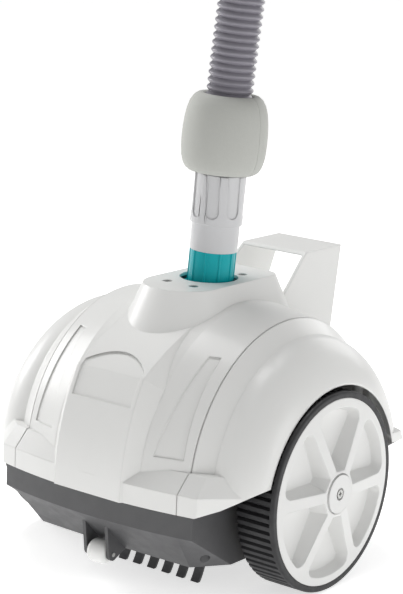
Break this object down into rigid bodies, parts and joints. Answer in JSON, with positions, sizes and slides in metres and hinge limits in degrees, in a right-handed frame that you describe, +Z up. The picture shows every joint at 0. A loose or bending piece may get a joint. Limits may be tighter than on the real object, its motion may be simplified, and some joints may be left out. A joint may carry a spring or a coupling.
{
  "type": "pool cleaner",
  "caption": "Wheeled suction pool cleaner: ribbed white shell on a dark chassis, two driven wheels, turbine gear train and a swivelling outlet with float and hose.",
  "frame": {"origin": "centre of the bounding box's base, on the pool floor, between the two wheels", "axes": "+X towards the machine's left wheel, -Y towards its front, +Z up"},
  "size_m": [0.3256, 0.32, 0.6604],
  "materials": {
    "white_abs": "satin injection-moulded ABS",
    "dark_plastic": "fine-grained dark grey moulding",
    "case_plastic": "plain moulded grey",
    "gear_nylon": "natural nylon",
    "steel": "turned stainless steel",
    "ballast_iron": "coated iron",
    "wheel_plastic": "satin moulded light grey",
    "tyre_rubber": "black rubber",
    "roller_plastic": "smooth white",
    "teal_plastic": "glossy teal moulding",
    "connector_plastic": "satin white moulding",
    "float_foam": "matte closed-cell foam skin",
    "hose_plastic": "soft ribbed polyethylene"
  },
  "bodies": {
    "base": {"centre_cover": "white_abs", "left_side_cover": "white_abs", "right_side_cover": "white_abs", "carry_handle": "white_abs", "chassis": "dark_plastic", "debris_comb": "dark_plastic", "intake_throat": "dark_plastic", "left_gear_cover": "dark_plastic", "right_gear_cover": "dark_plastic", "turbine_case_rear": "case_plastic", "turbine_case_front": "case_plastic", "swivel_socket": "case_plastic", "shaft_bushes": "gear_nylon", "left_gear_pin": "steel", "right_gear_pin": "steel", "left_stub_axle": "steel", "right_stub_axle": "steel", "roller_pin": "steel", "chassis_screws": "steel", "gear_cover_screws": "steel", "hub_screws": "steel", "turret_screws": "steel", "ballast_weight": "ballast_iron", "left_hub_cap": "wheel_plastic", "right_hub_cap": "wheel_plastic"},
    "left_wheel": {"left_wheel_rim": "wheel_plastic", "left_tyre": "tyre_rubber", "left_ring_gear": "gear_nylon", "left_hub_bush": "gear_nylon"},
    "right_wheel": {"right_wheel_rim": "wheel_plastic", "right_tyre": "tyre_rubber", "right_ring_gear": "gear_nylon", "right_hub_bush": "gear_nylon"},
    "left_gear": {"left_reduction_gear": "gear_nylon"},
    "right_gear": {"right_reduction_gear": "gear_nylon"},
    "turbine": {"turbine_rotor": "gear_nylon", "turbine_shaft": "steel", "drive_pinions": "gear_nylon"},
    "roller": {"front_roller": "roller_plastic"},
    "tilt": {"tilt_ring": "case_plastic"},
    "outlet": {"outlet_tube": "teal_plastic", "hose_connector": "connector_plastic", "float_left_half": "float_foam", "float_right_half": "float_foam", "leader_hose": "hose_plastic", "hose_cuff": "connector_plastic"}
  },
  "joints": [
    {"name": "left_wheel_spin", "type": "hinge", "parent": "base", "child": "left_wheel", "pos_m": [0.135, -0.01, 0.09], "axis": [1, 0, 0], "continuous": true},
    {"name": "right_wheel_spin", "type": "hinge", "parent": "base", "child": "right_wheel", "pos_m": [-0.135, -0.01, 0.09], "axis": [1, 0, 0], "continuous": true},
    {"name": "left_gear_spin", "type": "hinge", "parent": "base", "child": "left_gear", "pos_m": [0.12, -0.04719, 0.10952], "axis": [1, 0, 0], "continuous": true},
    {"name": "right_gear_spin", "type": "hinge", "parent": "base", "child": "right_gear", "pos_m": [-0.12, -0.04719, 0.10952], "axis": [1, 0, 0], "continuous": true},
    {"name": "turbine_spin", "type": "hinge", "parent": "base", "child": "turbine", "pos_m": [0, -0.0275, 0.128], "axis": [1, 0, 0], "continuous": true},
    {"name": "front_roller_spin", "type": "hinge", "parent": "base", "child": "roller", "pos_m": [0, -0.1383, 0.0301], "axis": [1, 0, 0], "continuous": true},
    {"name": "outlet_tilt", "type": "hinge", "parent": "base", "child": "tilt", "pos_m": [0, 0.002, 0.232], "axis": [-0.6157, 0.788, 0], "range_deg": [-11.4, 4.6]},
    {"name": "outlet_swivel", "type": "hinge", "parent": "tilt", "child": "outlet", "pos_m": [0, 0.002, 0.232], "axis": [0.0467, 0.0365, 0.9982], "continuous": true}
  ],
  "couplings": [
    {"joint": "right_wheel_spin", "follows": "left_wheel_spin", "ratio": 1},
    {"joint": "left_gear_spin", "follows": "left_wheel_spin", "ratio": 5},
    {"joint": "right_gear_spin", "follows": "left_wheel_spin", "ratio": 5},
    {"joint": "turbine_spin", "follows": "left_wheel_spin", "ratio": -17.5}
  ]
}
